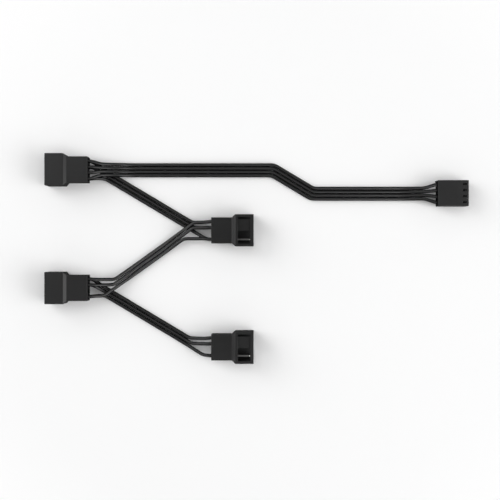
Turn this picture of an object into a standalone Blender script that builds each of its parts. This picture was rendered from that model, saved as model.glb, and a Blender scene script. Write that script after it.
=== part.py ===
"""Fan splitter cable: one four-way socket plug feeds four pin connectors, one after the other.

The cable lies flat on a surface at z = 0. X runs along the connectors and Y across them. The origin
is on that surface, under the middle of the connectors' outline. Every length is in metres.
"""
import math

import bmesh
import bpy
import numpy as np
from mathutils import Matrix

# Terminal row and fits
POSITIONS = 4
PITCH = 0.00254
MATE_GAP = 0.00015
SEAT_GAP = 0.0003

# Wires
WIRE_DIAMETER = 0.00145
RIBBON_PITCH = 0.0015
LEVEL_PITCH = 0.0023
WIRE_SIDE_ROOM = 0.00055
WIRE_STACK = 0.0015
STACK_ROOM = 0.00045
SOCKET_WIRE_ROOM = 0.00115
WIRE_LIFT = 0.00074

# Pin connector housing
REAR_LENGTH = 0.0087
TAPER_LENGTH = 0.0014
SHROUD_LENGTH = 0.0077
REAR_SIDE_WALL = 0.00064
REAR_COVER_WALL = 0.001
SHROUD_SIDE_WALL = 0.0011
PLAIN_WALL = 0.001
BAR_THICKNESS = 0.0008
BAR_LENGTH = 0.00135
WINDOW_LENGTH = 0.0053
MOUTH_DEPTH = 0.0084
PARTITION = 0.0022
TONGUE_EDGE_SLOT = 0.0009
TONGUE_WIDTH = 0.0048
HOUSING_ROUND = 0.0002

# Socket plug housing
SOCKET_LENGTH = 0.01285
SOCKET_HEIGHT = 0.0049
SOCKET_FRONT_WALL = 0.0009
RIB_HEIGHT = 0.0008
RIB_WIDTH = 0.0006
LEAD_IN_WIDTH = 0.0016
LEAD_IN_DEPTH = 0.0005
CATCH_WIDTH = 0.0009
CATCH_LENGTH = 0.0018
CATCH_FROM_FRONT = 0.00095
CATCH_DEPTH = 0.0015

# Terminals
PIN_SIZE = 0.00064
PIN_GAP = 0.0002
PIN_TIP_SETBACK = 0.00155
PIN_POINT_LENGTH = 0.0007
PIN_POINT_SIZE = 0.00026
INSULATION_DEPTH = 0.0027
CRIMP_LENGTH = 0.0019
CRIMP_WIDTH = 0.00135
CRIMP_HEIGHT = 0.0024
NECK_SIZE = 0.0008
NECK_LENGTH = 0.0005
SHOULDER_HEIGHT = 0.0018
TERMINAL_SIDE_GAP = 0.00025
LANCE_WIDTH = 0.0008
LANCE_LENGTH = 0.0011
LANCE_REACH = 0.0011
RECEPTACLE_WALL = 0.00025

# Where the connectors lie: their wire side in X and their row's middle in Y
LEFT_REAR_X = -0.0709
RIGHT_REAR_X = -0.0193
SOCKET_REAR_X = 0.07585
ROW_1_Y = 0.03724
ROW_2_Y = 0.01177
ROW_3_Y = -0.01234
ROW_4_Y = -0.03724
SOCKET_Y = 0.0274

# Wire routes: a run's middle line, and each height above the surface by distance from a connector
TRUNK_LINE = ((-0.0655, 0.03743), (0.00675, 0.03743), (0.02345, 0.02745), (0.0710, 0.02745))
LINK_LINES = {
    "link_1": ((-0.0605, 0.03315), (-0.0293, 0.01455)),
    "link_2": ((-0.0293, 0.0114), (-0.0607, -0.0111)),
    "link_3": ((-0.0626, -0.0153), (-0.0303, -0.0346)),
}
LEAN_DISTANCE = 0.0025
LEAVE_DISTANCE = 0.0016
JOIN_DISTANCE = 0.0065
STRAIGHT_EXIT = 0.0015
UPPER_WAY = ((0.0065, 0.0034), (0.0100, 0.00255), (0.0125, 0.0024), (0.0165, 0.0012), (0.0190, WIRE_LIFT))
LOWER_WAY = ((0.0045, 0.0020), (0.0070, 0.0011), (0.0095, WIRE_LIFT))
SINGLE_WAY = ((0.0060, 0.0022), (0.0105, 0.0011), (0.0140, WIRE_LIFT))
ROUTE_STEP = 0.0008
ROUTE_SMOOTHING = 3
STRAIGHT_STEPS = 5
BEND_TO_KEEP = math.radians(2)
WIRE_RING_DETAIL = 2

# Cutters reach past the faces that they open
OVERCUT = 0.001

# Sizes that follow from the ones above
ROW_LENGTH = (POSITIONS - 1) * PITCH
CAVITY_WIDTH = WIRE_DIAMETER + WIRE_SIDE_ROOM
BODY_WIDTH = ROW_LENGTH + CAVITY_WIDTH + 2 * REAR_SIDE_WALL
CAVITY_HEIGHT = WIRE_DIAMETER + WIRE_STACK + STACK_ROOM
REAR_HEIGHT = CAVITY_HEIGHT + 2 * REAR_COVER_WALL
HOUSING_LENGTH = REAR_LENGTH + TAPER_LENGTH + SHROUD_LENGTH
MOUTH_WIDTH = BODY_WIDTH + 2 * MATE_GAP
MOUTH_CLEAR_HEIGHT = SOCKET_HEIGHT + 2 * MATE_GAP
TONGUE_LOW = PLAIN_WALL + MOUTH_CLEAR_HEIGHT
TONGUE_TOP = TONGUE_LOW + RIB_HEIGHT
TONGUE_EDGE = MOUTH_WIDTH / 2 - TONGUE_EDGE_SLOT
SHROUD_HEIGHT = TONGUE_TOP + BAR_THICKNESS
SHROUD_WIDTH = MOUTH_WIDTH + 2 * SHROUD_SIDE_WALL
PIN_ROW = PLAIN_WALL + MATE_GAP + SOCKET_HEIGHT / 2
MOUTH_FLOOR = HOUSING_LENGTH - MOUTH_DEPTH
CAVITY_DEPTH = MOUTH_FLOOR - PARTITION
SOCKET_ROW = RIB_HEIGHT + SOCKET_HEIGHT / 2
SOCKET_TOP = RIB_HEIGHT + SOCKET_HEIGHT
SOCKET_CAVITY_HEIGHT = WIRE_DIAMETER + SOCKET_WIRE_ROOM
SOCKET_CAVITY_DEPTH = SOCKET_LENGTH - SOCKET_FRONT_WALL
CRIMP_START = INSULATION_DEPTH + SEAT_GAP
NECK_START = CRIMP_START + CRIMP_LENGTH
SHOULDER_START = NECK_START + NECK_LENGTH
SHOULDER_WIDTH = CAVITY_WIDTH - 2 * TERMINAL_SIDE_GAP
PIN_HOLE = PIN_SIZE + 2 * PIN_GAP


def clear_scene():
    for obj in list(bpy.data.objects):
        bpy.data.objects.remove(obj, do_unlink=True)


def new_collection(name):
    made = bpy.data.collections.new(name)
    bpy.context.scene.collection.children.link(made)
    return made


def new_material(name, colour, roughness, metallic=0.0):
    material = bpy.data.materials.new(name)
    material.use_nodes = True
    shader = material.node_tree.nodes["Principled BSDF"]
    shader.inputs["Base Color"].default_value = (*colour, 1)
    shader.inputs["Roughness"].default_value = roughness
    shader.inputs["Metallic"].default_value = metallic
    return material


def position_y(position, pitch=PITCH):
    """Place across the row of a position that is counted from 1, from +Y."""
    return ((POSITIONS + 1) / 2 - position) * pitch


def add_object(name, mesh, group):
    obj = bpy.data.objects.new(name, mesh)
    group.objects.link(obj)
    return obj


def add_guide(name, mesh, guides):
    """A cutter or another shape that only helps to make the parts."""
    guide = add_object(name, mesh, guides)
    guide.hide_render = True
    guide.display_type = "WIRE"
    return guide


def mesh_from(name, shape):
    mesh = bpy.data.meshes.new(name)
    shape.to_mesh(mesh)
    shape.free()
    return mesh


def add_box(shape, low, high):
    """Add a box between two corners to a bmesh."""
    low, high = np.array(low), np.array(high)
    place = Matrix.Translation((low + high) / 2) @ Matrix.Diagonal((*(high - low), 1))
    return bmesh.ops.create_cube(shape, size=1, matrix=place)["verts"]


def boxes_mesh(name, corners):
    shape = bmesh.new()
    for low, high in corners:
        add_box(shape, low, high)
    return mesh_from(name, shape)


def outline_mesh(name, outline, thickness, place):
    """Fill a flat outline, give it thickness and turn it into a closed mesh."""
    curve = bpy.data.curves.new(name, "CURVE")
    curve.dimensions = "2D"
    curve.fill_mode = "BOTH"
    curve.extrude = thickness / 2
    spline = curve.splines.new("POLY")
    spline.points.add(len(outline) - 1)
    for point, (x, y) in zip(spline.points, outline):
        point.co = (x, y, 0, 1)
    spline.use_cyclic_u = True
    drawn = bpy.data.objects.new(name + "_outline", curve)
    bpy.context.scene.collection.objects.link(drawn)
    bpy.context.view_layer.update()
    mesh = bpy.data.meshes.new_from_object(drawn.evaluated_get(bpy.context.evaluated_depsgraph_get()))
    bpy.data.objects.remove(drawn, do_unlink=True)
    shape = bmesh.new()
    shape.from_mesh(mesh)
    bmesh.ops.remove_doubles(shape, verts=shape.verts, dist=1e-6)
    bmesh.ops.transform(shape, matrix=place, verts=shape.verts)
    bmesh.ops.recalc_face_normals(shape, faces=shape.faces)
    shape.to_mesh(mesh)
    shape.free()
    mesh.name = name
    return mesh


def boolean(obj, other, operation):
    step = obj.modifiers.new(other.name, "BOOLEAN")
    step.operation = operation
    step.object = other


def finished_mesh(obj, name):
    """The mesh of an object with its modifiers applied."""
    bpy.context.view_layer.update()
    mesh = bpy.data.meshes.new_from_object(obj.evaluated_get(bpy.context.evaluated_depsgraph_get()))
    mesh.name = name
    return mesh


def along_x(start):
    """Stand an outline drawn in Y and Z on edge, so that its thickness runs along +X from start."""
    turn = Matrix(((0, 0, 1, 0), (1, 0, 0, 0), (0, 1, 0, 0), (0, 0, 0, 1)))
    return Matrix.Translation((start, 0, 0)) @ turn


def along_y(middle):
    """Stand an outline drawn in X and Z on edge, with its thickness on both sides of middle."""
    return Matrix.Translation((0, middle, 0)) @ Matrix.Rotation(math.pi / 2, 4, "X")


def housing_outside():
    """The moulding's outside: a rear body that flares into the wider, taller shroud."""
    shape = bmesh.new()
    half_width, half_height = BODY_WIDTH / 2, REAR_HEIGHT / 2
    add_box(shape, (0, -half_width, PIN_ROW - half_height), (REAR_LENGTH, half_width, PIN_ROW + half_height))
    front = max(shape.faces, key=lambda face: face.calc_center_median().x)
    for length in (TAPER_LENGTH, SHROUD_LENGTH):
        front = bmesh.ops.extrude_discrete_faces(shape, faces=[front])["faces"][0]
        for vert in front.verts:
            vert.co.x += length
            vert.co.y = math.copysign(SHROUD_WIDTH / 2, vert.co.y)
            vert.co.z = SHROUD_HEIGHT if vert.co.z > PIN_ROW else 0
    bmesh.ops.bevel(
        shape, geom=shape.edges[:], offset=HOUSING_ROUND, offset_type="OFFSET", segments=2, profile=0.5,
        affect="EDGES", clamp_overlap=True)
    return mesh_from("housing_outside", shape)


def mouth_outline():
    """Section of the mating space: room for a plug, with slots for its ribs on both sides of the tongue."""
    side = MOUTH_WIDTH / 2
    other_edge = TONGUE_EDGE - TONGUE_WIDTH
    return [
        (-side, PLAIN_WALL), (side, PLAIN_WALL), (side, TONGUE_TOP), (TONGUE_EDGE, TONGUE_TOP),
        (TONGUE_EDGE, TONGUE_LOW), (other_edge, TONGUE_LOW), (other_edge, TONGUE_TOP), (-side, TONGUE_TOP)]


def row_boxes(name, x_from, x_to, width, z_from, z_to):
    """One box for each position of the row."""
    corners = []
    for position in range(1, POSITIONS + 1):
        y = position_y(position)
        corners.append(((x_from, y - width / 2, z_from), (x_to, y + width / 2, z_to)))
    return boxes_mesh(name, corners)


def pin_housing_mesh(guides):
    """Moulded pin connector housing: +X at the mouth, plain side down at z = 0, key side up."""
    housing = add_guide("housing_blank", housing_outside(), guides)
    mouth_length = MOUTH_DEPTH + OVERCUT
    mouth = outline_mesh("mouth", mouth_outline(), mouth_length, along_x(MOUTH_FLOOR + mouth_length / 2))
    window_front = HOUSING_LENGTH - BAR_LENGTH
    window = boxes_mesh("window", [(
        (window_front - WINDOW_LENGTH, -MOUTH_WIDTH / 2, TONGUE_TOP),
        (window_front, MOUTH_WIDTH / 2, SHROUD_HEIGHT + OVERCUT))])
    cavities = row_boxes(
        "wire_cavities", -OVERCUT, CAVITY_DEPTH, CAVITY_WIDTH,
        PIN_ROW - CAVITY_HEIGHT / 2, PIN_ROW + CAVITY_HEIGHT / 2)
    holes = row_boxes(
        "pin_holes", CAVITY_DEPTH - OVERCUT, MOUTH_FLOOR + OVERCUT, PIN_HOLE,
        PIN_ROW - PIN_HOLE / 2, PIN_ROW + PIN_HOLE / 2)
    pocket_from = CAVITY_DEPTH - SEAT_GAP - LANCE_LENGTH - SEAT_GAP
    pockets = row_boxes(
        "lance_pockets", pocket_from, CAVITY_DEPTH, LANCE_WIDTH + 2 * SEAT_GAP,
        PIN_ROW, PIN_ROW + SHOULDER_HEIGHT / 2 + LANCE_REACH + SEAT_GAP)
    for mesh in (mouth, window, cavities, holes, pockets):
        boolean(housing, add_guide(mesh.name + "_cutter", mesh, guides), "DIFFERENCE")
    return finished_mesh(housing, "pin_housing")


def socket_housing_mesh(guides):
    """Moulded socket housing: wires enter at x = 0, ribs stand on z = 0, catch slots are on top."""
    half_width = BODY_WIDTH / 2
    shape = bmesh.new()
    add_box(shape, (0, -half_width, RIB_HEIGHT), (SOCKET_LENGTH, half_width, SOCKET_TOP))
    bmesh.ops.bevel(
        shape, geom=shape.edges[:], offset=HOUSING_ROUND, offset_type="OFFSET", segments=2, profile=0.5,
        affect="EDGES", clamp_overlap=True)
    housing = add_guide("socket_blank", mesh_from("socket_outside", shape), guides)
    first_rib = TONGUE_EDGE + MATE_GAP
    second_rib = TONGUE_EDGE - TONGUE_WIDTH - MATE_GAP
    ribs = boxes_mesh("ribs", [
        ((0, low, 0), (SOCKET_LENGTH - HOUSING_ROUND, low + RIB_WIDTH, RIB_HEIGHT + 2 * HOUSING_ROUND))
        for low in (first_rib, second_rib - RIB_WIDTH)])
    boolean(housing, add_guide("rib_shapes", ribs, guides), "UNION")
    cavities = row_boxes(
        "socket_cavities", -OVERCUT, SOCKET_CAVITY_DEPTH, CAVITY_WIDTH,
        SOCKET_ROW - SOCKET_CAVITY_HEIGHT / 2, SOCKET_ROW + SOCKET_CAVITY_HEIGHT / 2)
    holes = row_boxes(
        "front_holes", SOCKET_CAVITY_DEPTH - OVERCUT, SOCKET_LENGTH + OVERCUT, PIN_HOLE,
        SOCKET_ROW - PIN_HOLE / 2, SOCKET_ROW + PIN_HOLE / 2)
    for mesh in (cavities, holes, lead_in_mesh(), catch_mesh()):
        boolean(housing, add_guide(mesh.name + "_cutter", mesh, guides), "DIFFERENCE")
    return finished_mesh(housing, "socket_housing")


def lead_in_mesh():
    """Square funnels that guide the pins into the socket's front holes."""
    shape = bmesh.new()
    flare = (LEAD_IN_WIDTH - PIN_HOLE) / LEAD_IN_DEPTH
    depth = LEAD_IN_DEPTH + OVERCUT
    wide = LEAD_IN_WIDTH + flare * OVERCUT
    corner = math.sqrt(0.5)
    turn = Matrix.Rotation(math.pi / 2, 4, "Y") @ Matrix.Rotation(math.pi / 4, 4, "Z")
    for position in range(1, POSITIONS + 1):
        middle = SOCKET_LENGTH - LEAD_IN_DEPTH + depth / 2
        bmesh.ops.create_cone(
            shape, cap_ends=True, segments=4, radius1=PIN_HOLE * corner, radius2=wide * corner, depth=depth,
            matrix=Matrix.Translation((middle, position_y(position), SOCKET_ROW)) @ turn)
    return mesh_from("lead_ins", shape)


def catch_mesh():
    """Sloped slots over the terminals, shallow towards the wires and open to the cavity at the front."""
    shape = bmesh.new()
    front = SOCKET_LENGTH - CATCH_FROM_FRONT
    for position in range(1, POSITIONS + 1):
        y = position_y(position)
        verts = add_box(
            shape, (front - CATCH_LENGTH, y - CATCH_WIDTH / 2, SOCKET_TOP - CATCH_DEPTH),
            (front, y + CATCH_WIDTH / 2, SOCKET_TOP + OVERCUT))
        for vert in verts:
            if vert.co.x < front - CATCH_LENGTH / 2 and vert.co.z < SOCKET_TOP:
                vert.co.z = SOCKET_TOP - HOUSING_ROUND
    return mesh_from("catch_slots", shape)


def crimp_outline(middle):
    """Section of a closed crimp: round underneath, two rolled lobes on top with a groove between them."""
    half = CRIMP_WIDTH / 2
    low, lobe = middle - CRIMP_HEIGHT / 2 + half, middle + CRIMP_HEIGHT / 2 - half / 2
    points = []
    for angle in np.linspace(math.pi, 2 * math.pi, 5):
        points.append((half * math.cos(angle), low + half * math.sin(angle)))
    for side in (1, -1):
        centre = side * half / 2
        for angle in np.linspace(0, math.pi, 4):
            points.append((centre + half / 2 * math.cos(angle), lobe + half / 2 * math.sin(angle)))
    return points


def terminal_parts(guides, name, middle, pieces):
    """Join a terminal's crimp with its other pieces."""
    crimp = outline_mesh(
        name + "_crimp", crimp_outline(middle), CRIMP_LENGTH, along_x(CRIMP_START + CRIMP_LENGTH / 2))
    terminal = add_guide(name + "_blank", crimp, guides)
    for piece in pieces:
        boolean(terminal, add_guide(name + "_" + piece.name, piece, guides), "UNION")
    return terminal


def neck_mesh(middle):
    half = NECK_SIZE / 2
    reach = NECK_LENGTH / 2
    return boxes_mesh("neck", [
        ((NECK_START - reach, -half, middle - half), (SHOULDER_START + reach, half, middle + half))])


def lance_mesh(middle, shoulder_end):
    """A sprung lance that slopes up and back from the shoulder, behind which the terminal can't pull out."""
    top = middle + SHOULDER_HEIGHT / 2
    sunk = SHOULDER_HEIGHT / 4
    outline = [
        (shoulder_end, top - sunk), (shoulder_end, top), (shoulder_end - LANCE_LENGTH, top + LANCE_REACH),
        (shoulder_end - LANCE_LENGTH, top - sunk)]
    return outline_mesh("lance", outline, LANCE_WIDTH, along_y(0))


def pin_terminal_mesh(guides):
    """Male terminal: crimp, neck, shoulder with a lance, and a square pin with a pointed end."""
    shoulder_end = CAVITY_DEPTH - SEAT_GAP
    shoulder = boxes_mesh("shoulder", [(
        (SHOULDER_START, -SHOULDER_WIDTH / 2, PIN_ROW - SHOULDER_HEIGHT / 2),
        (shoulder_end, SHOULDER_WIDTH / 2, PIN_ROW + SHOULDER_HEIGHT / 2))])
    shape = bmesh.new()
    tip = HOUSING_LENGTH - PIN_TIP_SETBACK
    half = PIN_SIZE / 2
    root = shoulder_end - SEAT_GAP
    add_box(shape, (root, -half, PIN_ROW - half), (tip - PIN_POINT_LENGTH, half, PIN_ROW + half))
    front = max(shape.faces, key=lambda face: face.calc_center_median().x)
    front = bmesh.ops.extrude_discrete_faces(shape, faces=[front])["faces"][0]
    for vert in front.verts:
        vert.co.x = tip
        vert.co.y = math.copysign(PIN_POINT_SIZE / 2, vert.co.y)
        vert.co.z = PIN_ROW + math.copysign(PIN_POINT_SIZE / 2, vert.co.z - PIN_ROW)
    pin = mesh_from("pin", shape)
    pieces = (neck_mesh(PIN_ROW), shoulder, lance_mesh(PIN_ROW, shoulder_end), pin)
    return finished_mesh(terminal_parts(guides, "pin_terminal", PIN_ROW, pieces), "pin_terminal")


def socket_terminal_mesh(guides):
    """Female terminal: crimp, neck and a square receptacle that is open at its front."""
    front = SOCKET_CAVITY_DEPTH - SEAT_GAP
    half = SHOULDER_WIDTH / 2
    bore = half - RECEPTACLE_WALL
    box_half = SHOULDER_HEIGHT / 2
    bore_half = box_half - RECEPTACLE_WALL
    receptacle = boxes_mesh("receptacle", [
        ((SHOULDER_START, -half, SOCKET_ROW - box_half), (front, half, SOCKET_ROW + box_half))])
    terminal = terminal_parts(guides, "socket_terminal", SOCKET_ROW, (neck_mesh(SOCKET_ROW), receptacle))
    hollow = boxes_mesh("receptacle_bore", [(
        (SHOULDER_START + NECK_LENGTH, -bore, SOCKET_ROW - bore_half),
        (front + OVERCUT, bore, SOCKET_ROW + bore_half))])
    boolean(terminal, add_guide("receptacle_bore_cutter", hollow, guides), "DIFFERENCE")
    return finished_mesh(terminal, "socket_terminal")


class Connector:
    """Where one connector lies, which way it faces and which positions are fitted."""

    def __init__(self, name, rear_x, row_y, mouth_side, height, row_height, fitted):
        self.name = name
        self.rear_x = rear_x
        self.row_y = row_y
        self.mouth_side = mouth_side
        self.height = height
        self.turned = mouth_side < 0
        self.row_z = height - row_height if self.turned else row_height
        self.fitted = fitted

    def empty(self, group):
        """An empty at the middle of the wire side, turned over about Y where the mouth looks along -X."""
        place = bpy.data.objects.new(self.name, None)
        group.objects.link(place)
        place.location = (self.rear_x, self.row_y, self.height if self.turned else 0)
        place.rotation_euler = (0, math.pi if self.turned else 0, 0)
        return place

    def wire_exit(self, position, layer):
        """Inner end, wire-side opening and height of a wire: layer is 1 above, -1 below or 0 alone."""
        y = self.row_y + position_y(position)
        z = self.row_z + layer * WIRE_STACK / 2
        inner = (self.rear_x + self.mouth_side * INSULATION_DEPTH, y)
        return inner, (self.rear_x, y), z

    def level_y(self, position):
        """Where a wire runs on after it has leaned towards its neighbours."""
        return self.row_y + position_y(position, LEVEL_PITCH)


ALL = (1, 2, 3, 4)
NO_SPEED = (1, 2, 4)
CONNECTORS = {
    "connector_1": Connector("connector_1", LEFT_REAR_X, ROW_1_Y, -1, SHROUD_HEIGHT, PIN_ROW, ALL),
    "connector_2": Connector("connector_2", RIGHT_REAR_X, ROW_2_Y, 1, SHROUD_HEIGHT, PIN_ROW, NO_SPEED),
    "connector_3": Connector("connector_3", LEFT_REAR_X, ROW_3_Y, -1, SHROUD_HEIGHT, PIN_ROW, NO_SPEED),
    "connector_4": Connector("connector_4", RIGHT_REAR_X, ROW_4_Y, 1, SHROUD_HEIGHT, PIN_ROW, NO_SPEED),
    "socket_plug": Connector("socket_plug", SOCKET_REAR_X, SOCKET_Y, 1, SOCKET_TOP, SOCKET_ROW, ALL),
}


def offset_line(line, across):
    """A straight line moved sideways, to the left of its direction."""
    start, end = np.array(line[0]), np.array(line[1])
    along = (end - start) / np.linalg.norm(end - start)
    side = np.array((-along[1], along[0]))
    return start + across * side, along


def meet(line, across, other, other_across):
    """Where two lines cross, each moved sideways."""
    start, along = offset_line(line, across)
    other_start, other_along = offset_line(other, other_across)
    steps = np.linalg.solve(np.column_stack((along, -other_along)), other_start - start)
    return start + steps[0] * along


def trunk_plan(position):
    """Plan of one trunk wire: out of both connectors, then close beside its neighbours."""
    across = position_y(position, RIBBON_PITCH)
    legs = list(zip(TRUNK_LINE[:-1], TRUNK_LINE[1:]))
    first, last = CONNECTORS["connector_1"], CONNECTORS["socket_plug"]
    inner_1, exit_1, _ = first.wire_exit(position, 1)
    inner_2, exit_2, _ = last.wire_exit(position, 0)
    leave_1 = (exit_1[0] + LEAVE_DISTANCE, first.level_y(position))
    leave_2 = (exit_2[0] - LEAVE_DISTANCE, last.level_y(position))
    plan = [inner_1, exit_1, leave_1, offset_line(legs[0], across)[0]]
    for leg, following in zip(legs[:-1], legs[1:]):
        plan.append(meet(leg, across, following, across))
    end = np.array(TRUNK_LINE[-1]) + (0, across)
    return plan + [end, leave_2, exit_2, inner_2]


def level_corner(line, across, connector, position):
    """How a level run out of a connector turns into a slanting ribbon, from the connector outwards.

    A wire whose lines meet too near the connector first comes straight out, and joins its ribbon further on.
    """
    y = connector.level_y(position)
    outward = -connector.mouth_side
    level = ((connector.rear_x, y), (connector.rear_x + outward, y))
    corner = meet(line, across, level, 0)
    distance = outward * (corner[0] - connector.rear_x)
    if distance < LEAVE_DISTANCE:
        join_x = connector.rear_x + outward * JOIN_DISTANCE
        upright = ((join_x, 0), (join_x, 1))
        return [(connector.rear_x + outward * LEAVE_DISTANCE, y), meet(line, across, upright, 0)]
    if distance > 2 * LEAN_DISTANCE:
        return [(connector.rear_x + outward * LEAN_DISTANCE, y), corner]
    return [corner]


def link_plan(name, position, first, last):
    """Plan of one link wire: its three wires lie side by side in the order of their positions."""
    line = LINK_LINES[name]
    place = {1: 1, 2: 0, 4: -1}[position]
    across = place * RIBBON_PITCH * math.copysign(1, line[1][0] - line[0][0])
    inner_1, exit_1, _ = first.wire_exit(position, 0)
    inner_2, exit_2, _ = last.wire_exit(position, 0)
    out = level_corner(line, across, first, position)
    back = level_corner(line, across, last, position)
    return [inner_1, exit_1, *out, *back[::-1], exit_2, inner_2]


def height_near(x, connector, exit_z, way_down):
    """Height of a wire at x as it comes down from a connector."""
    distances = [0, STRAIGHT_EXIT] + [distance for distance, _ in way_down]
    heights = [exit_z, exit_z] + [height for _, height in way_down]
    return np.interp((connector.rear_x - x) * connector.mouth_side, distances, heights)


def smooth_route(plan, first, last):
    """A smooth route in space through a plan's points.

    first and last give the connector, the height at its opening and the way down from it. Each leg is
    divided, heights are added, and every point becomes the mean of its neighbours, twice over.
    """
    points = []
    for start, end in zip(plan[:-1], plan[1:]):
        start, end = np.array(start), np.array(end)
        count = max(1, round(np.linalg.norm(end - start) / ROUTE_STEP))
        points += [start + (end - start) * step / count for step in range(count)]
    points = np.array(points + [np.array(plan[-1])])
    heights = np.maximum(height_near(points[:, 0], *first), height_near(points[:, 0], *last))
    route = np.column_stack((points, heights))
    reach = ROUTE_SMOOTHING // 2
    for _ in range(2):
        padded = np.vstack((
            route[0] - np.outer(range(reach, 0, -1), route[1] - route[0]), route,
            route[-1] + np.outer(range(1, reach + 1), route[-1] - route[-2])))
        route = np.mean([padded[shift:shift + len(route)] for shift in range(ROUTE_SMOOTHING)], axis=0)
    return thinned(route)


def thinned(route):
    """Keep each point where the route bends, and every few points along its straight runs."""
    kept = [0]
    for index in range(1, len(route) - 1):
        before = route[index] - route[kept[-1]]
        after = route[index + 1] - route[index]
        turn = math.acos(min(1, before @ after / np.linalg.norm(before) / np.linalg.norm(after)))
        if turn > BEND_TO_KEEP and index - kept[-1] >= 2 or index - kept[-1] >= STRAIGHT_STEPS:
            kept.append(index)
    return route[kept + [len(route) - 1]]


def wire_object(name, route, group, material):
    curve = bpy.data.curves.new(name, "CURVE")
    curve.dimensions = "3D"
    curve.bevel_depth = WIRE_DIAMETER / 2
    curve.bevel_resolution = WIRE_RING_DETAIL
    curve.use_fill_caps = True
    spline = curve.splines.new("POLY")
    spline.points.add(len(route) - 1)
    for point, place in zip(spline.points, route):
        point.co = (*place, 1)
    wire = bpy.data.objects.new(name, curve)
    group.objects.link(wire)
    curve.materials.append(material)
    return wire


def build_connectors(group, guides, plastic, tin):
    meshes = {
        "pin_housing": pin_housing_mesh(guides),
        "pin_terminal": pin_terminal_mesh(guides),
        "socket_housing": socket_housing_mesh(guides),
        "socket_terminal": socket_terminal_mesh(guides),
    }
    for name, mesh in meshes.items():
        mesh.materials.clear()
        mesh.materials.append(plastic if "housing" in name else tin)
    for connector in CONNECTORS.values():
        kind = "socket" if connector.name == "socket_plug" else "pin"
        place = connector.empty(group)
        housing = add_object(connector.name + "_housing", meshes[kind + "_housing"], group)
        housing.parent = place
        for position in connector.fitted:
            terminal = add_object(f"{connector.name}_terminal_{position}", meshes[kind + "_terminal"], group)
            terminal.parent = place
            terminal.location.y = position_y(position)


def build_wires(group, insulation):
    first, last = CONNECTORS["connector_1"], CONNECTORS["socket_plug"]
    for position in ALL:
        upper = (first, first.wire_exit(position, 1)[2], UPPER_WAY)
        single = (last, last.wire_exit(position, 0)[2], SINGLE_WAY)
        route = smooth_route(trunk_plan(position), upper, single)
        wire_object(f"trunk_wire_{position}", route, group, insulation)
    links = (
        ("link_1", "connector_1", -1, LOWER_WAY, "connector_2", -1, LOWER_WAY),
        ("link_2", "connector_2", 1, UPPER_WAY, "connector_3", 1, UPPER_WAY),
        ("link_3", "connector_3", -1, LOWER_WAY, "connector_4", 0, SINGLE_WAY),
    )
    for name, first_name, first_layer, first_way, last_name, last_layer, last_way in links:
        first, last = CONNECTORS[first_name], CONNECTORS[last_name]
        for position in NO_SPEED:
            start = (first, first.wire_exit(position, first_layer)[2], first_way)
            end = (last, last.wire_exit(position, last_layer)[2], last_way)
            route = smooth_route(link_plan(name, position, first, last), start, end)
            wire_object(f"{name}_wire_{position}", route, group, insulation)


def main():
    clear_scene()
    group = new_collection("fan_splitter_cable")
    guides = new_collection("guides")
    plastic = new_material("black_nylon", (0.033, 0.033, 0.034), 0.42)
    tin = new_material("tin_plate", (0.62, 0.61, 0.58), 0.3, 1.0)
    insulation = new_material("black_insulation", (0.02, 0.02, 0.021), 0.38)
    build_connectors(group, guides, plastic, tin)
    build_wires(group, insulation)
    bpy.context.view_layer.update()


main()
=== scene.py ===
"""Finish of the fan splitter cable: moulded nylon housings, plated terminals and extruded wires.

Every length is in metres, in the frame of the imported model. The cable lies on the floor at z = 0, and
the camera looks straight down on it.
"""
import math

import bmesh
import bpy
import numpy as np
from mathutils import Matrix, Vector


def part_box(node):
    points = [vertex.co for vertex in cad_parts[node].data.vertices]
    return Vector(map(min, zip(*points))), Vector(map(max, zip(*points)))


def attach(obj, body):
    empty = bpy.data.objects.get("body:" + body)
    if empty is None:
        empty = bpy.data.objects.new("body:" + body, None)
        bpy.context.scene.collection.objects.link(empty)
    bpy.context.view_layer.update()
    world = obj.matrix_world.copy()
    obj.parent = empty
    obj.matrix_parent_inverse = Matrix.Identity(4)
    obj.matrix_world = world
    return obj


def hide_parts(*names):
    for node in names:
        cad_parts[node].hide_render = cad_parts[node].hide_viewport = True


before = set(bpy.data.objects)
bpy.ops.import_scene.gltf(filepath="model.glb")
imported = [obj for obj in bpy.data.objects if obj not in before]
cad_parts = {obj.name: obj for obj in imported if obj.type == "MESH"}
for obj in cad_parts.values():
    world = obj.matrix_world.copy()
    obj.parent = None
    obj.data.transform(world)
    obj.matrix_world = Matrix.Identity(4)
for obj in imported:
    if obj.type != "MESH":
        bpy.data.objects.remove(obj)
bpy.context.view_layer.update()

# Camera, as the photograph was taken: straight down, from above the middle of the picture
CAMERA_PLACE = (-0.00303, 0.00354, 0.335)
CAMERA_LENS = 56.6
SENSOR_WIDTH = 36.0
CAMERA_NEAR = 0.02
CAMERA_FAR = 20.0

# Light: a pale dome, two low softboxes that face each other across the cable, two glints that only shiny
# surfaces show, and above them a dark canopy with a glowing ring. Angles are in degrees, powers in watts,
# and the pairs are the distances from the canopy's middle between which the ring rises and falls.
DOME_STRENGTH = 0.95
WHITE_BACKGROUND = 1.0
LAMP_DISTANCE = 1.1
LAMPS = {
    "softbox_left": {"azimuth": 155, "elevation": 27, "size": 0.80, "power": 7.2, "on_matt": True},
    "softbox_right": {"azimuth": -15, "elevation": 27, "size": 0.80, "power": 7.6, "on_matt": True},
    "glint_upper_left": {"azimuth": 125, "elevation": 55, "size": 0.30, "power": 0.8, "on_matt": False},
    "glint_lower_right": {"azimuth": -55, "elevation": 46, "size": 0.30, "power": 5.5, "on_matt": False},
}
CANOPY_HEIGHT = 1.2
CANOPY_RADIUS = 2.4
CANOPY_DARK_RADIUS = 1.6
CANOPY_GLOW = 0.03
RING_INNER = (0.30, 0.65)
RING_OUTER = (0.90, 1.20)
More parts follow.
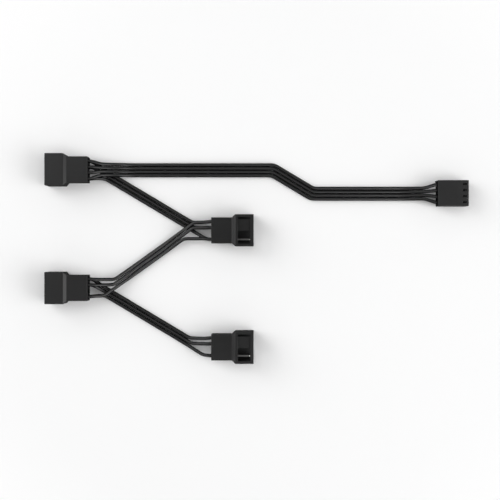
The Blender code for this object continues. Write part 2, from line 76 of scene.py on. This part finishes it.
RING_GLOW = 1.0
CANOPY_SIDES = 48

# Black nylon: noise scales are in waves a metre, bump depths in metres
NYLON_COLOURS = ((0.0045, 0.0045, 0.0047), (0.0065, 0.0065, 0.0067))
NYLON_FLOW_SCALE = 240
NYLON_GRAIN_SCALE = 11000
NYLON_ROUGHNESS = (0.33, 0.42)
NYLON_WALL_ROUGHNESS = 0.45
NYLON_GRAIN_DEPTH = 0.000004
NYLON_GLOSS = 0.45

# Black insulation: the strands under it lie round it once in a lay length
INSULATION_COLOURS = ((0.0035, 0.0035, 0.0037), (0.0055, 0.0055, 0.0058))
INSULATION_ROUGHNESS = (0.30, 0.42)
INSULATION_FLANK_ROUGHNESS = 0.55
INSULATION_FINE_SCALE = 9000
INSULATION_BUMP_DEPTH = 0.000006
INSULATION_GLOSS = 0.5
STRANDS = 7
LAY_LENGTH = 0.011
DRAW_LINES_ROUND = 9
DRAW_LINES_ALONG = 90

# Tin plate
TIN_COLOURS = ((0.47, 0.47, 0.46), (0.55, 0.55, 0.54))
TIN_CLOUD_SCALE = 1500
TIN_ROLLING_SCALE = (900, 16000, 16000)
TIN_ROUGHNESS = (0.22, 0.38)
TIN_ROLLING_DEPTH = 0.000003

# Painted shade: how matt, and so how much darker, upright faces are, and between which tilts a wire's flank
# turns matt and darker
UPRIGHT_STEEPNESS = 3
WALL_PAINTED_SHADE = 0.6
FLANK_SHADE_TILTS = (0.12, 0.60)
MATT_ROUGHNESS = 0.9

# Floor: it fades into the white background between two distances from its middle
FLOOR_SIZE = 6.0
FLOOR_DROP = 0.00002
FLOOR_COLOUR = (0.93, 0.93, 0.93)
FLOOR_FADE = (0.105, 0.170)

# Terminal row
POSITIONS = 4
PITCH = 0.00254
PIN_ROW = 0.0036
SOCKET_ROW = 0.00325
INSULATION_DEPTH = 0.0027

# Wires and their routes, as the model's own wires run
WIRE_DIAMETER = 0.00145
RIBBON_PITCH = 0.0015
LEVEL_PITCH = 0.0023
WIRE_STACK = 0.0015
WIRE_LIFT = 0.00074
TRUNK_LINE = ((-0.0655, 0.03743), (0.00675, 0.03743), (0.02345, 0.02745), (0.0710, 0.02745))
LINK_LINES = {
    "link_1": ((-0.0605, 0.03315), (-0.0293, 0.01455)),
    "link_2": ((-0.0293, 0.0114), (-0.0607, -0.0111)),
    "link_3": ((-0.0626, -0.0153), (-0.0303, -0.0346)),
}
LEAN_DISTANCE = 0.0025
LEAVE_DISTANCE = 0.0016
JOIN_DISTANCE = 0.0065
STRAIGHT_EXIT = 0.0015
UPPER_WAY = ((0.0065, 0.0034), (0.0100, 0.00255), (0.0125, 0.0024), (0.0165, 0.0012), (0.0190, WIRE_LIFT))
LOWER_WAY = ((0.0045, 0.0020), (0.0070, 0.0011), (0.0095, WIRE_LIFT))
SINGLE_WAY = ((0.0060, 0.0022), (0.0105, 0.0011), (0.0140, WIRE_LIFT))
ROUTE_STEP = 0.0008
ROUTE_SMOOTHING = 3
SMOOTHING_ROUNDS = 2
FINE_STEPS = 2
WIRE_SIDES = 24
WIRE_RIPPLE = 0.000006
WIRE_RIPPLE_PITCH = 0.004

# Runs of wires: at each end its connector, the layer that it lies in there, and its way down to the floor
RUNS = {
    "trunk": (("connector_1", 1, UPPER_WAY), ("socket_plug", 0, SINGLE_WAY)),
    "link_1": (("connector_1", -1, LOWER_WAY), ("connector_2", -1, LOWER_WAY)),
    "link_2": (("connector_2", 1, UPPER_WAY), ("connector_3", 1, UPPER_WAY)),
    "link_3": (("connector_3", -1, LOWER_WAY), ("connector_4", 0, SINGLE_WAY)),
}

# Positions that a link has wires in, and their places beside each other, in wires from its middle
LINK_PLACES = {1: 1, 2: 0, 4: -1}

# Edges that the finish rounds
MERGE_DISTANCE = 0.000001
SHARP_ANGLE = math.radians(50)
FLAT_ANGLE = math.radians(0.5)
HOUSING_EDGE = 0.00007
TERMINAL_EDGE = 0.00003
EDGE_SEGMENTS = 2


class Link:
    """One output of a node. Arithmetic on it adds Math nodes to its tree."""

    def __init__(self, maker, output):
        self.maker = maker
        self.output = output

    def maths(self, operation, first, second=0.0):
        return self.maker.node("ShaderNodeMath", {"operation": operation}, {0: first, 1: second})

    def __add__(self, other):
        return self.maths("ADD", self, other)

    def __radd__(self, other):
        return self.maths("ADD", other, self)

    def __sub__(self, other):
        return self.maths("SUBTRACT", self, other)

    def __rsub__(self, other):
        return self.maths("SUBTRACT", other, self)

    def __mul__(self, other):
        return self.maths("MULTIPLY", self, other)

    def __rmul__(self, other):
        return self.maths("MULTIPLY", other, self)


class NodeMaker:
    """Adds nodes to a shader or geometry tree."""

    def __init__(self, tree):
        self.tree = tree

    def node(self, kind, settings=None, values=None, output=0):
        """Add a node: its settings first, then its sockets' values or links. Returns one of its outputs."""
        made = self.tree.nodes.new(kind)
        for name, setting in (settings or {}).items():
            setattr(made, name, setting)
        for name, value in (values or {}).items():
            self.put(made.inputs[name], value)
        return Link(self, made.outputs[output])

    def put(self, socket, value):
        """Give a socket a value, or link it to an output."""
        if isinstance(value, Link):
            self.tree.links.new(value.output, socket)
        else:
            socket.default_value = value

    def noise(self, vector, scale, detail=2.0, roughness=0.5):
        return self.node("ShaderNodeTexNoise", {}, {
            "Vector": vector, "Scale": scale, "Detail": detail, "Roughness": roughness})

    def between(self, factor, low, high):
        """A number that goes from low to high as factor goes from 0 to 1."""
        return self.node("ShaderNodeMapRange", {}, {
            "Value": factor, "From Min": 0.0, "From Max": 1.0, "To Min": low, "To Max": high})

    def smooth_step(self, value, edges):
        """0 below the first edge and 1 above the second, with a smooth rise between them."""
        return self.node("ShaderNodeMapRange", {"interpolation_type": "SMOOTHSTEP"}, {
            "Value": value, "From Min": edges[0], "From Max": edges[1], "To Min": 0.0, "To Max": 1.0})

    def colour_between(self, factor, low, high):
        """As between, for colours: a mix node's colours are its sockets 6 and 7, and its output 2."""
        return self.node("ShaderNodeMix", {"data_type": "RGBA"}, {0: factor, 6: (*low, 1), 7: (*high, 1)}, 2)

    def bump(self, height, distance, strength):
        return self.node("ShaderNodeBump", {}, {
            "Strength": strength, "Distance": distance, "Height": height})

    def outputs(self, made, *names):
        """Several outputs of the node that one output is from."""
        return [Link(self, made.output.node.outputs[name]) for name in names]

    def parts(self, vector):
        """The X, Y and Z of a vector."""
        return self.outputs(self.node("ShaderNodeSeparateXYZ", {}, {"Vector": vector}), "X", "Y", "Z")


class Finish(NodeMaker):
    """A procedural material around a Principled BSDF."""

    def __init__(self, name):
        self.material = bpy.data.materials.new(name)
        self.material.use_nodes = True
        super().__init__(self.material.node_tree)
        self.shader = self.tree.nodes["Principled BSDF"]

    def set(self, **values):
        """Set the shader's sockets, with _ for a space in their names."""
        for name, value in values.items():
            self.put(self.shader.inputs[name.replace("_", " ")], value)

    def object_place(self):
        return self.node("ShaderNodeTexCoord", output="Object")

    def reach(self):
        """Distance from the object's middle."""
        return self.node("ShaderNodeVectorMath", {"operation": "LENGTH"}, {0: self.object_place()}, "Value")

    def tilt(self, steepness=1):
        """1 on faces that stand upright, and falling to 0 on faces that look up or down."""
        facing = self.parts(self.node("ShaderNodeTexCoord", output="Normal"))[2]
        side = 1 - facing * facing
        return side.maths("POWER", side, steepness)

    def paint_shade(self, amount, base):
        """Painted shade: mix a matt copy of the surface, without the sheen of the rest, into a share of it,
        which darkens that share.
        """
        matt = self.node("ShaderNodeBsdfPrincipled", {}, {
            "Base Color": base, "Roughness": MATT_ROUGHNESS, "Specular IOR Level": 0.0})
        self.show(self.mixed(amount, self.surface(), matt))

    def surface(self):
        return Link(self, self.shader.outputs[0])

    def mixed(self, factor, first, second):
        return self.node("ShaderNodeMixShader", {}, {0: factor, 1: first, 2: second})

    def show(self, shader):
        """Make a shader the material's surface."""
        self.put(self.tree.nodes["Material Output"].inputs["Surface"], shader)


def moulded_nylon():
    """Black nylon with the fine satin grain of a spark-eroded mould and faint flow variation."""
    finish = Finish("moulded_nylon")
    place = finish.object_place()
    flow = finish.noise(place, NYLON_FLOW_SCALE, detail=3)
    grain = finish.noise(place, NYLON_GRAIN_SCALE, roughness=0.6)
    base = finish.colour_between(flow, *NYLON_COLOURS)
    upright = finish.tilt(UPRIGHT_STEEPNESS)
    # Painted shade: upright faces lose part of their sheen and turn darker
    finish.paint_shade(upright * WALL_PAINTED_SHADE, base)
    roughness = finish.between(flow * 0.6 + grain * 0.4, *NYLON_ROUGHNESS)
    finish.set(
        Base_Color=base,
        Roughness=roughness + upright * NYLON_WALL_ROUGHNESS,
        Normal=finish.bump(grain, NYLON_GRAIN_DEPTH, strength=0.5))
    finish.shader.inputs["Specular IOR Level"].default_value = NYLON_GLOSS
    return finish.material


def extruded_insulation():
    """Black insulation: draw lines along it, and the lay of the strands showing faintly through."""
    finish = Finish("extruded_insulation")
    ring = finish.node("ShaderNodeAttribute", {"attribute_name": "ring_place"}, output="Vector")
    along = finish.node("ShaderNodeAttribute", {"attribute_name": "wire_length"}, output="Fac")
    ring_x, ring_y, _ = finish.parts(ring)
    angle = finish.node("ShaderNodeMath", {"operation": "ARCTAN2"}, {0: ring_y, 1: ring_x})
    lay = finish.node("ShaderNodeMath", {"operation": "SINE"}, {
        0: angle * STRANDS + along * (2 * math.pi / LAY_LENGTH)})
    drawn = finish.node("ShaderNodeCombineXYZ", {}, {
        "X": ring_x * DRAW_LINES_ROUND, "Y": ring_y * DRAW_LINES_ROUND, "Z": along * DRAW_LINES_ALONG})
    lines = finish.noise(drawn, 1, detail=3, roughness=0.6)
    fine = finish.noise(finish.object_place(), INSULATION_FINE_SCALE)
    base = finish.colour_between(lines, *INSULATION_COLOURS)
    # Painted shade: a wire's flanks lose their sheen and turn darker
    finish.paint_shade(finish.smooth_step(finish.tilt(), FLANK_SHADE_TILTS), base)
    roughness = finish.between(lines * 0.5 + fine * 0.5, *INSULATION_ROUGHNESS)
    finish.set(
        Base_Color=base,
        Roughness=roughness + finish.tilt(UPRIGHT_STEEPNESS) * INSULATION_FLANK_ROUGHNESS,
        Normal=finish.bump(lay * 0.5 + lines * 0.6 + fine * 0.3, INSULATION_BUMP_DEPTH, strength=0.25))
    finish.shader.inputs["Specular IOR Level"].default_value = INSULATION_GLOSS
    return finish.material


def tin_plate():
    """Half-bright tin over stamped metal, with rolling marks along the strip."""
    finish = Finish("tin_plate")
    place = finish.object_place()
    strip = finish.node("ShaderNodeMapping", {}, {"Vector": place, "Scale": TIN_ROLLING_SCALE})
    rolled = finish.noise(strip, 1, detail=3, roughness=0.6)
    cloud = finish.noise(place, TIN_CLOUD_SCALE)
    finish.set(
        Base_Color=finish.colour_between(cloud, *TIN_COLOURS),
        Roughness=finish.between(rolled * 0.6 + cloud * 0.4, *TIN_ROUGHNESS),
        Normal=finish.bump(rolled, TIN_ROLLING_DEPTH, strength=0.4))
    finish.shader.inputs["Metallic"].default_value = 1.0
    return finish.material


def seen_directly(maker):
    """1 for rays from the camera, a reflection or a clear material, and 0 for rays that carry light."""
    seen, glossy, clear = maker.outputs(
        maker.node("ShaderNodeLightPath"), "Is Camera Ray", "Is Glossy Ray", "Is Transmission Ray")
    for other in (glossy, clear):
        seen = seen.maths("MAXIMUM", seen, other)
    return seen


def pale_floor():
    """A matt white sheet that runs out into the white background, and hides nothing from below."""
    finish = Finish("pale_floor")
    finish.set(Base_Color=(*FLOOR_COLOUR, 1), Roughness=MATT_ROUGHNESS)
    finish.shader.inputs["Specular IOR Level"].default_value = 0.0
    far = finish.smooth_step(finish.reach(), FLOOR_FADE)
    white = finish.node("ShaderNodeEmission", {}, {"Color": (1, 1, 1, 1), "Strength": WHITE_BACKGROUND})
    top = finish.mixed(far * seen_directly(finish), finish.surface(), white)
    below = finish.node("ShaderNodeNewGeometry", output="Backfacing")
    finish.show(finish.mixed(below, top, finish.node("ShaderNodeBsdfTransparent")))
    return finish.material


def make_camera():
    camera = bpy.data.objects.new("camera", bpy.data.cameras.new("camera"))
    camera.location = CAMERA_PLACE
    camera.data.lens = CAMERA_LENS
    camera.data.sensor_width = SENSOR_WIDTH
    camera.data.clip_start = CAMERA_NEAR
    camera.data.clip_end = CAMERA_FAR
    bpy.context.scene.collection.objects.link(camera)
    bpy.context.scene.camera = camera


def position_y(position, pitch=PITCH):
    """Place across the row of a position that is counted from 1, from +Y."""
    return ((POSITIONS + 1) / 2 - position) * pitch


class Connector:
    """Where a connector lies, from its housing's box. mouth_side is 1 or -1, as its mouth looks along X."""

    def __init__(self, name, mouth_side, row_height):
        low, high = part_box(name + "_housing")
        self.mouth_side = mouth_side
        self.rear_x = low.x if mouth_side > 0 else high.x
        self.row_y = (low.y + high.y) / 2
        self.row_z = low.z + row_height if mouth_side > 0 else high.z - row_height

    def opening(self, position):
        return np.array((self.rear_x, self.row_y + position_y(position)))

    def inner_end(self, position):
        return self.opening(position) + (self.mouth_side * INSULATION_DEPTH, 0)

    def level_y(self, position):
        """Where a wire runs on after it has leaned towards its neighbours."""
        return self.row_y + position_y(position, LEVEL_PITCH)

    def exit_z(self, layer):
        """Height of a wire in its opening: layer is 1 above, -1 below or 0 alone."""
        return self.row_z + layer * WIRE_STACK / 2


CONNECTORS = {
    "connector_1": Connector("connector_1", -1, PIN_ROW),
    "connector_2": Connector("connector_2", 1, PIN_ROW),
    "connector_3": Connector("connector_3", -1, PIN_ROW),
    "connector_4": Connector("connector_4", 1, PIN_ROW),
    "socket_plug": Connector("socket_plug", 1, SOCKET_ROW),
}


def offset_line(line, across):
    """A straight line moved sideways, to the left of its direction."""
    start, end = np.array(line[0]), np.array(line[1])
    along = (end - start) / np.linalg.norm(end - start)
    return start + across * np.array((-along[1], along[0])), along


def meet(line, across, other, other_across):
    """Where two lines cross, each moved sideways."""
    start, along = offset_line(line, across)
    other_start, other_along = offset_line(other, other_across)
    steps = np.linalg.solve(np.column_stack((along, -other_along)), other_start - start)
    return start + steps[0] * along


def trunk_plan(position, first, last):
    """Plan of one trunk wire: out of both connectors, then close beside its neighbours."""
    across = position_y(position, RIBBON_PITCH)
    legs = list(zip(TRUNK_LINE[:-1], TRUNK_LINE[1:]))
    plan = [
        first.inner_end(position), first.opening(position),
        (first.rear_x + LEAVE_DISTANCE, first.level_y(position)), offset_line(legs[0], across)[0]]
    for leg, following in zip(legs[:-1], legs[1:]):
        plan.append(meet(leg, across, following, across))
    plan.append(np.array(TRUNK_LINE[-1]) + (0, across))
    return plan + [
        (last.rear_x - LEAVE_DISTANCE, last.level_y(position)),
        last.opening(position), last.inner_end(position)]


def level_corner(line, across, connector, position):
    """How a level run out of a connector turns into a slanting ribbon, from the connector outwards."""
    y = connector.level_y(position)
    outward = -connector.mouth_side
    level = ((connector.rear_x, y), (connector.rear_x + outward, y))
    corner = meet(line, across, level, 0)
    distance = outward * (corner[0] - connector.rear_x)
    if distance < LEAVE_DISTANCE:
        join_x = connector.rear_x + outward * JOIN_DISTANCE
        upright = ((join_x, 0), (join_x, 1))
        return [(connector.rear_x + outward * LEAVE_DISTANCE, y), meet(line, across, upright, 0)]
    if distance > 2 * LEAN_DISTANCE:
        return [(connector.rear_x + outward * LEAN_DISTANCE, y), corner]
    return [corner]


def link_plan(name, position, first, last):
    """Plan of one link wire: its three wires lie side by side in the order of their positions."""
    line = LINK_LINES[name]
    across = LINK_PLACES[position] * RIBBON_PITCH * math.copysign(1, line[1][0] - line[0][0])
    out = level_corner(line, across, first, position)
    back = level_corner(line, across, last, position)
    return [
        first.inner_end(position), first.opening(position), *out,
        *back[::-1], last.opening(position), last.inner_end(position)]


def height_near(x, connector, layer, way_down):
    """Height of a wire at x as it comes down from a connector."""
    exit_z = connector.exit_z(layer)
    distances = [0, STRAIGHT_EXIT] + [distance for distance, _ in way_down]
    heights = [exit_z, exit_z] + [height for _, height in way_down]
    return np.interp((connector.rear_x - x) * connector.mouth_side, distances, heights)


def smooth_route(plan, first_end, last_end):
    """A smooth route in space through a plan's points, with the heights that its two ends give."""
    points = []
    for start, end in zip(plan[:-1], plan[1:]):
        start, end = np.array(start), np.array(end)
        count = max(1, round(np.linalg.norm(end - start) / ROUTE_STEP))
        points += [start + (end - start) * step / count for step in range(count)]
    points = np.array(points + [np.array(plan[-1])])
    heights = np.maximum(height_near(points[:, 0], *first_end), height_near(points[:, 0], *last_end))
    route = np.column_stack((points, heights))
    reach = ROUTE_SMOOTHING // 2
    for _ in range(SMOOTHING_ROUNDS):
        padded = np.vstack((
            route[0] - np.outer(range(reach, 0, -1), route[1] - route[0]), route,
            route[-1] + np.outer(range(1, reach + 1), route[-1] - route[-2])))
        route = np.mean([padded[shift:shift + len(route)] for shift in range(ROUTE_SMOOTHING)], axis=0)
    return fine_route(route)


def fine_route(route):
    """More points on a Catmull-Rom curve through the route's points."""
    ends = np.vstack((2 * route[0] - route[1], route, 2 * route[-1] - route[-2]))
    fine = []
    for before, start, end, after in zip(ends[:-3], ends[1:-2], ends[2:-1], ends[3:]):
        for step in range(FINE_STEPS):
            t = step / FINE_STEPS
            fine.append((
                2 * start + (end - before) * t + (2 * before - 5 * start + 4 * end - after) * t ** 2
                + (3 * start - before - 3 * end + after) * t ** 3) / 2)
    return np.array(fine + [route[-1]])


def wire_tree():
    """Geometry tree that draws a wire's insulation along its route, with closed ends."""
    tree = bpy.data.node_groups.new("wire_along_route", "GeometryNodeTree")
    tree.interface.new_socket("Geometry", in_out="INPUT", socket_type="NodeSocketGeometry")
    sockets = {}
    kinds = {
        "Diameter": "Float", "Sides": "Int", "Ripple": "Float", "Ripple Pitch": "Float", "Seed": "Float",
        "Finish": "Material"}
    for name, kind in kinds.items():
        made = tree.interface.new_socket(name, in_out="INPUT", socket_type="NodeSocket" + kind)
        sockets[name] = made.identifier
    tree.interface.new_socket("Geometry", in_out="OUTPUT", socket_type="NodeSocketGeometry")
    maker = NodeMaker(tree)
    route = maker.node("NodeGroupInput", output="Geometry")
    size = dict(zip(kinds, maker.outputs(route, *kinds)))
    length = maker.node("GeometryNodeSplineParameter", output="Length")
    path = maker.node("GeometryNodeStoreNamedAttribute", {"data_type": "FLOAT"}, {
        "Geometry": route, "Name": "wire_length", "Value": length})
    ring = maker.node("GeometryNodeCurvePrimitiveCircle", {}, {
        "Resolution": size["Sides"], "Radius": size["Diameter"] * 0.5})
    turn = maker.node("GeometryNodeSplineParameter", output="Factor") * (2 * math.pi)
    across = maker.node("ShaderNodeMath", {"operation": "COSINE"}, {0: turn})
    upward = maker.node("ShaderNodeMath", {"operation": "SINE"}, {0: turn})
    ring = maker.node("GeometryNodeStoreNamedAttribute", {"data_type": "FLOAT_VECTOR"}, {
        "Geometry": ring, "Name": "ring_place",
        "Value": maker.node("ShaderNodeCombineXYZ", {}, {"X": across, "Y": upward})})
    tube = maker.node("GeometryNodeCurveToMesh", {}, {
        "Curve": path, "Profile Curve": ring, "Fill Caps": True})
    along = maker.node("GeometryNodeInputNamedAttribute", {}, {"Name": "wire_length"})
    spot = maker.node("ShaderNodeCombineXYZ", {}, {
        "X": maker.node("ShaderNodeMath", {"operation": "DIVIDE"}, {0: along, 1: size["Ripple Pitch"]}),
        "Y": size["Seed"]})
    swell = (maker.noise(spot, 1.0) - 0.5) * size["Ripple"] * 2
    outward = maker.node("ShaderNodeVectorMath", {"operation": "SCALE"}, {
        0: maker.node("GeometryNodeInputNormal"), "Scale": swell})
    rippled = maker.node("GeometryNodeSetPosition", {}, {"Geometry": tube, "Offset": outward})
    smooth = maker.node("GeometryNodeSetShadeSmooth", {}, {"Geometry": rippled})
    real = maker.node("GeometryNodeRealizeInstances", {}, {"Geometry": smooth})
    done = maker.node("GeometryNodeSetMaterial", {}, {"Geometry": real, "Material": size["Finish"]})
    maker.put(tree.nodes.new("NodeGroupOutput").inputs["Geometry"], done)
    return tree, sockets


def baked(obj, name):
    """A plain mesh object of what an object's modifiers make. The object itself is removed."""
    bpy.context.view_layer.update()
    mesh = bpy.data.meshes.new_from_object(obj.evaluated_get(bpy.context.evaluated_depsgraph_get()))
    mesh.name = name
    bpy.data.objects.remove(obj, do_unlink=True)
    made = bpy.data.objects.new(name, mesh)
    bpy.context.scene.collection.objects.link(made)
    return made


def drawn_wire(name, route, tree, sockets, seed, finish):
    """One wire's insulation as a mesh tube along its route."""
    curve = bpy.data.curves.new(name + "_route", "CURVE")
    curve.dimensions = "3D"
    spline = curve.splines.new("POLY")
    spline.points.add(len(route) - 1)
    for point, place in zip(spline.points, route):
        point.co = (*place, 1)
    path = bpy.data.objects.new(name + "_route", curve)
    bpy.context.scene.collection.objects.link(path)
    draw = path.modifiers.new("draw", "NODES")
    draw.node_group = tree
    values = {
        "Diameter": WIRE_DIAMETER, "Sides": WIRE_SIDES, "Ripple": WIRE_RIPPLE,
        "Ripple Pitch": WIRE_RIPPLE_PITCH, "Seed": float(seed), "Finish": finish}
    for key, value in values.items():
        draw[sockets[key]] = value
    return baked(path, name)


def make_wires(finish):
    """All the wires: each drawn along its whole length, out of one housing and into another."""
    tree, sockets = wire_tree()
    seed = 0
    for name, ends in RUNS.items():
        first_end, last_end = [(CONNECTORS[connector], layer, way) for connector, layer, way in ends]
        start, first_layer, _ = first_end
        end = last_end[0]
        positions = range(1, POSITIONS + 1) if name == "trunk" else LINK_PLACES
        for position in positions:
            if name == "trunk":
                plan = trunk_plan(position, start, end)
            else:
                plan = link_plan(name, position, start, end)
            route = smooth_route(plan, first_end, last_end)
            seed += 1
            wire = drawn_wire(f"{name}_insulation_{position}", route, tree, sockets, seed, finish)
            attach(wire, "root")
            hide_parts(f"{name}_wire_{position}")
            start.opening(position)
            start.exit_z(first_layer)


def softened(node, name, edge, finish):
    """A merged copy of a model's solid, with its sharp edges rounded."""
    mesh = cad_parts[node].data.copy()
    mesh.name = name
    shape = bmesh.new()
    shape.from_mesh(mesh)
    bmesh.ops.remove_doubles(shape, verts=shape.verts, dist=MERGE_DISTANCE)
    bmesh.ops.dissolve_limit(
        shape, angle_limit=FLAT_ANGLE, verts=shape.verts, edges=shape.edges, use_dissolve_boundaries=False)
    shape.to_mesh(mesh)
    shape.free()
    mesh.materials.clear()
    mesh.materials.append(finish)
    mesh.shade_smooth()
    piece = bpy.data.objects.new(name, mesh)
    bpy.context.scene.collection.objects.link(piece)
    rounding = piece.modifiers.new("edges", "BEVEL")
    rounding.width = edge
    rounding.segments = EDGE_SEGMENTS
    rounding.limit_method = "ANGLE"
    rounding.angle_limit = SHARP_ANGLE
    rounding.miter_outer = "MITER_ARC"
    rounding.use_clamp_overlap = True
    even = piece.modifiers.new("flat_faces", "WEIGHTED_NORMAL")
    even.mode = "FACE_AREA"
    even.keep_sharp = True
    made = baked(piece, name)
    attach(made, "root")
    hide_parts(node)
    return made


def make_housings(finish):
    for name in CONNECTORS:
        housing = softened(name + "_housing", name + "_shell", HOUSING_EDGE, finish)


def make_terminals(finish):
    for node in sorted(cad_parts):
        if "_terminal_" in node:
            terminal = softened(node, node.replace("terminal", "contact"), TERMINAL_EDGE, finish)


def make_floor():
    mesh = bpy.data.meshes.new("floor")
    shape = bmesh.new()
    bmesh.ops.create_grid(shape, x_segments=1, y_segments=1, size=FLOOR_SIZE / 2)
    shape.to_mesh(mesh)
    shape.free()
    mesh.materials.append(pale_floor())
    floor = bpy.data.objects.new("floor", mesh)
    floor.location.z = -FLOOR_DROP
    bpy.context.scene.collection.objects.link(floor)


def make_world():
    """A plain dome that lights the cable, and is white where the camera or a reflection sees it."""
    world = bpy.data.worlds.new("dome")
    world.use_nodes = True
    bpy.context.scene.world = world
    maker = NodeMaker(world.node_tree)
    background = world.node_tree.nodes["Background"]
    background.inputs["Color"].default_value = (1, 1, 1, 1)
    strength = maker.between(seen_directly(maker), DOME_STRENGTH, WHITE_BACKGROUND)
    maker.put(background.inputs["Strength"], strength)


def make_lamps():
    """Square area lamps, which all face the middle of the cable."""
    for name, values in LAMPS.items():
        lamp = bpy.data.lights.new(name, "AREA")
        lamp.size = values["size"]
        lamp.energy = values["power"]
        box = bpy.data.objects.new(name, lamp)
        box.visible_diffuse = values["on_matt"]
        azimuth, elevation = math.radians(values["azimuth"]), math.radians(values["elevation"])
        level = LAMP_DISTANCE * math.cos(elevation)
        height = LAMP_DISTANCE * math.sin(elevation)
        box.location = (level * math.cos(azimuth), level * math.sin(azimuth), height)
        box.rotation_mode = "QUATERNION"
        box.rotation_quaternion = box.location.to_track_quat("Z", "Y")
        bpy.context.scene.collection.objects.link(box)


def canopy_cloth():
    """Dark cloth with a bright ring round its middle, that thins out towards its rim."""
    finish = Finish("canopy_cloth")
    reach = finish.reach()
    cover = 1 - finish.smooth_step(reach, (CANOPY_DARK_RADIUS, CANOPY_RADIUS))
    ring = finish.smooth_step(reach, RING_INNER) * (1 - finish.smooth_step(reach, RING_OUTER))
    glow = finish.colour_between(ring, (CANOPY_GLOW,) * 3, (RING_GLOW,) * 3)
    finish.set(Base_Color=(0, 0, 0, 1), Emission_Color=glow, Emission_Strength=1.0, Alpha=cover)
    finish.shader.inputs["Specular IOR Level"].default_value = 0.0
    return finish.material


def make_canopy():
    """The dark above the camera, which upward faces reflect. Sloping faces reflect its ring."""
    mesh = bpy.data.meshes.new("canopy")
    shape = bmesh.new()
    bmesh.ops.create_circle(shape, cap_ends=True, segments=CANOPY_SIDES, radius=CANOPY_RADIUS)
    shape.to_mesh(mesh)
    shape.free()
    mesh.materials.append(canopy_cloth())
    canopy = bpy.data.objects.new("canopy", mesh)
    canopy.location = (CAMERA_PLACE[0], CAMERA_PLACE[1], CANOPY_HEIGHT)
    canopy.visible_camera = False
    bpy.context.scene.collection.objects.link(canopy)


bpy.context.scene.view_settings.view_transform = "Standard"
make_camera()
make_wires(extruded_insulation())
make_housings(moulded_nylon())
make_terminals(tin_plate())
make_floor()
make_world()
make_lamps()
make_canopy()
